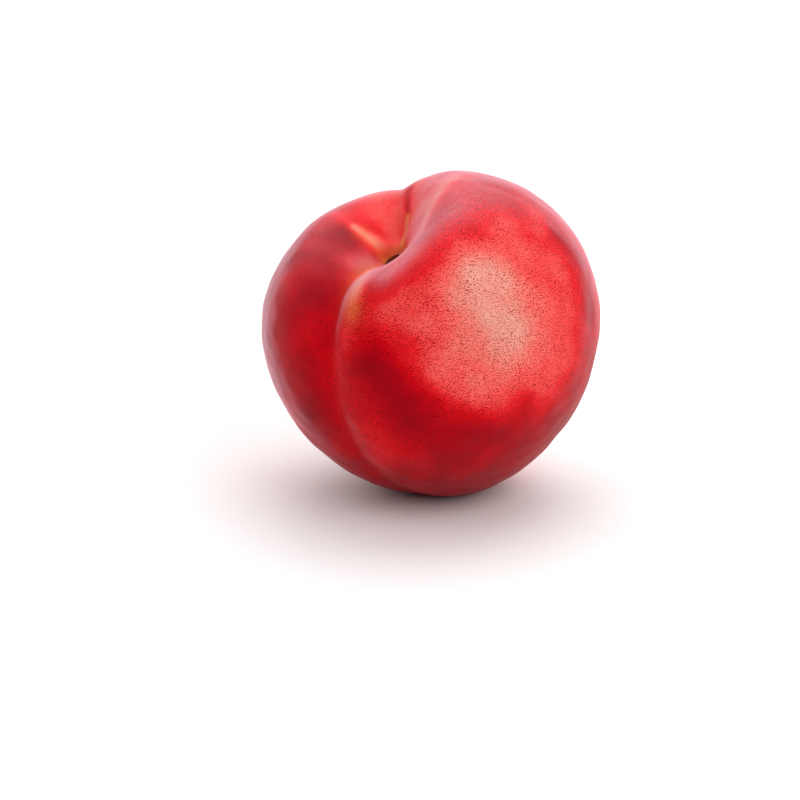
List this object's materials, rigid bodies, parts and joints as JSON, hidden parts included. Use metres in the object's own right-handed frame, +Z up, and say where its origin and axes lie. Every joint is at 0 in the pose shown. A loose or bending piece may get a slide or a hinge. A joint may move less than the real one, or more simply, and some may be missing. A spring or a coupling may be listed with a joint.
{
  "type": "nectarine",
  "caption": "Whole ripe nectarine with a stem cavity, a suture groove, a larger right lobe and a dried stem scar, resting on a small flat spot",
  "frame": {"origin": "On the resting surface, midway across the whole fruit in X and in Y", "axes": "+Z is up, away from the small flat spot that the fruit rests on. -Y is the front, which the stem cavity and the suture groove lean towards. +X is to the right, on the side of the larger lobe"},
  "size_m": [0.0748, 0.0738, 0.0727],
  "materials": {
    "fruit_skin": "smooth thin fruit skin with a broad soft sheen and a pale waxy bloom, crimson to coral red with pale salmon patches and fine dark red dashes",
    "dried_stem": "dry, rough, dark brown to olive brown"
  },
  "bodies": {
    "root": {"fruit": "fruit_skin", "stem_scar": "dried_stem"}
  },
  "joints": []
}
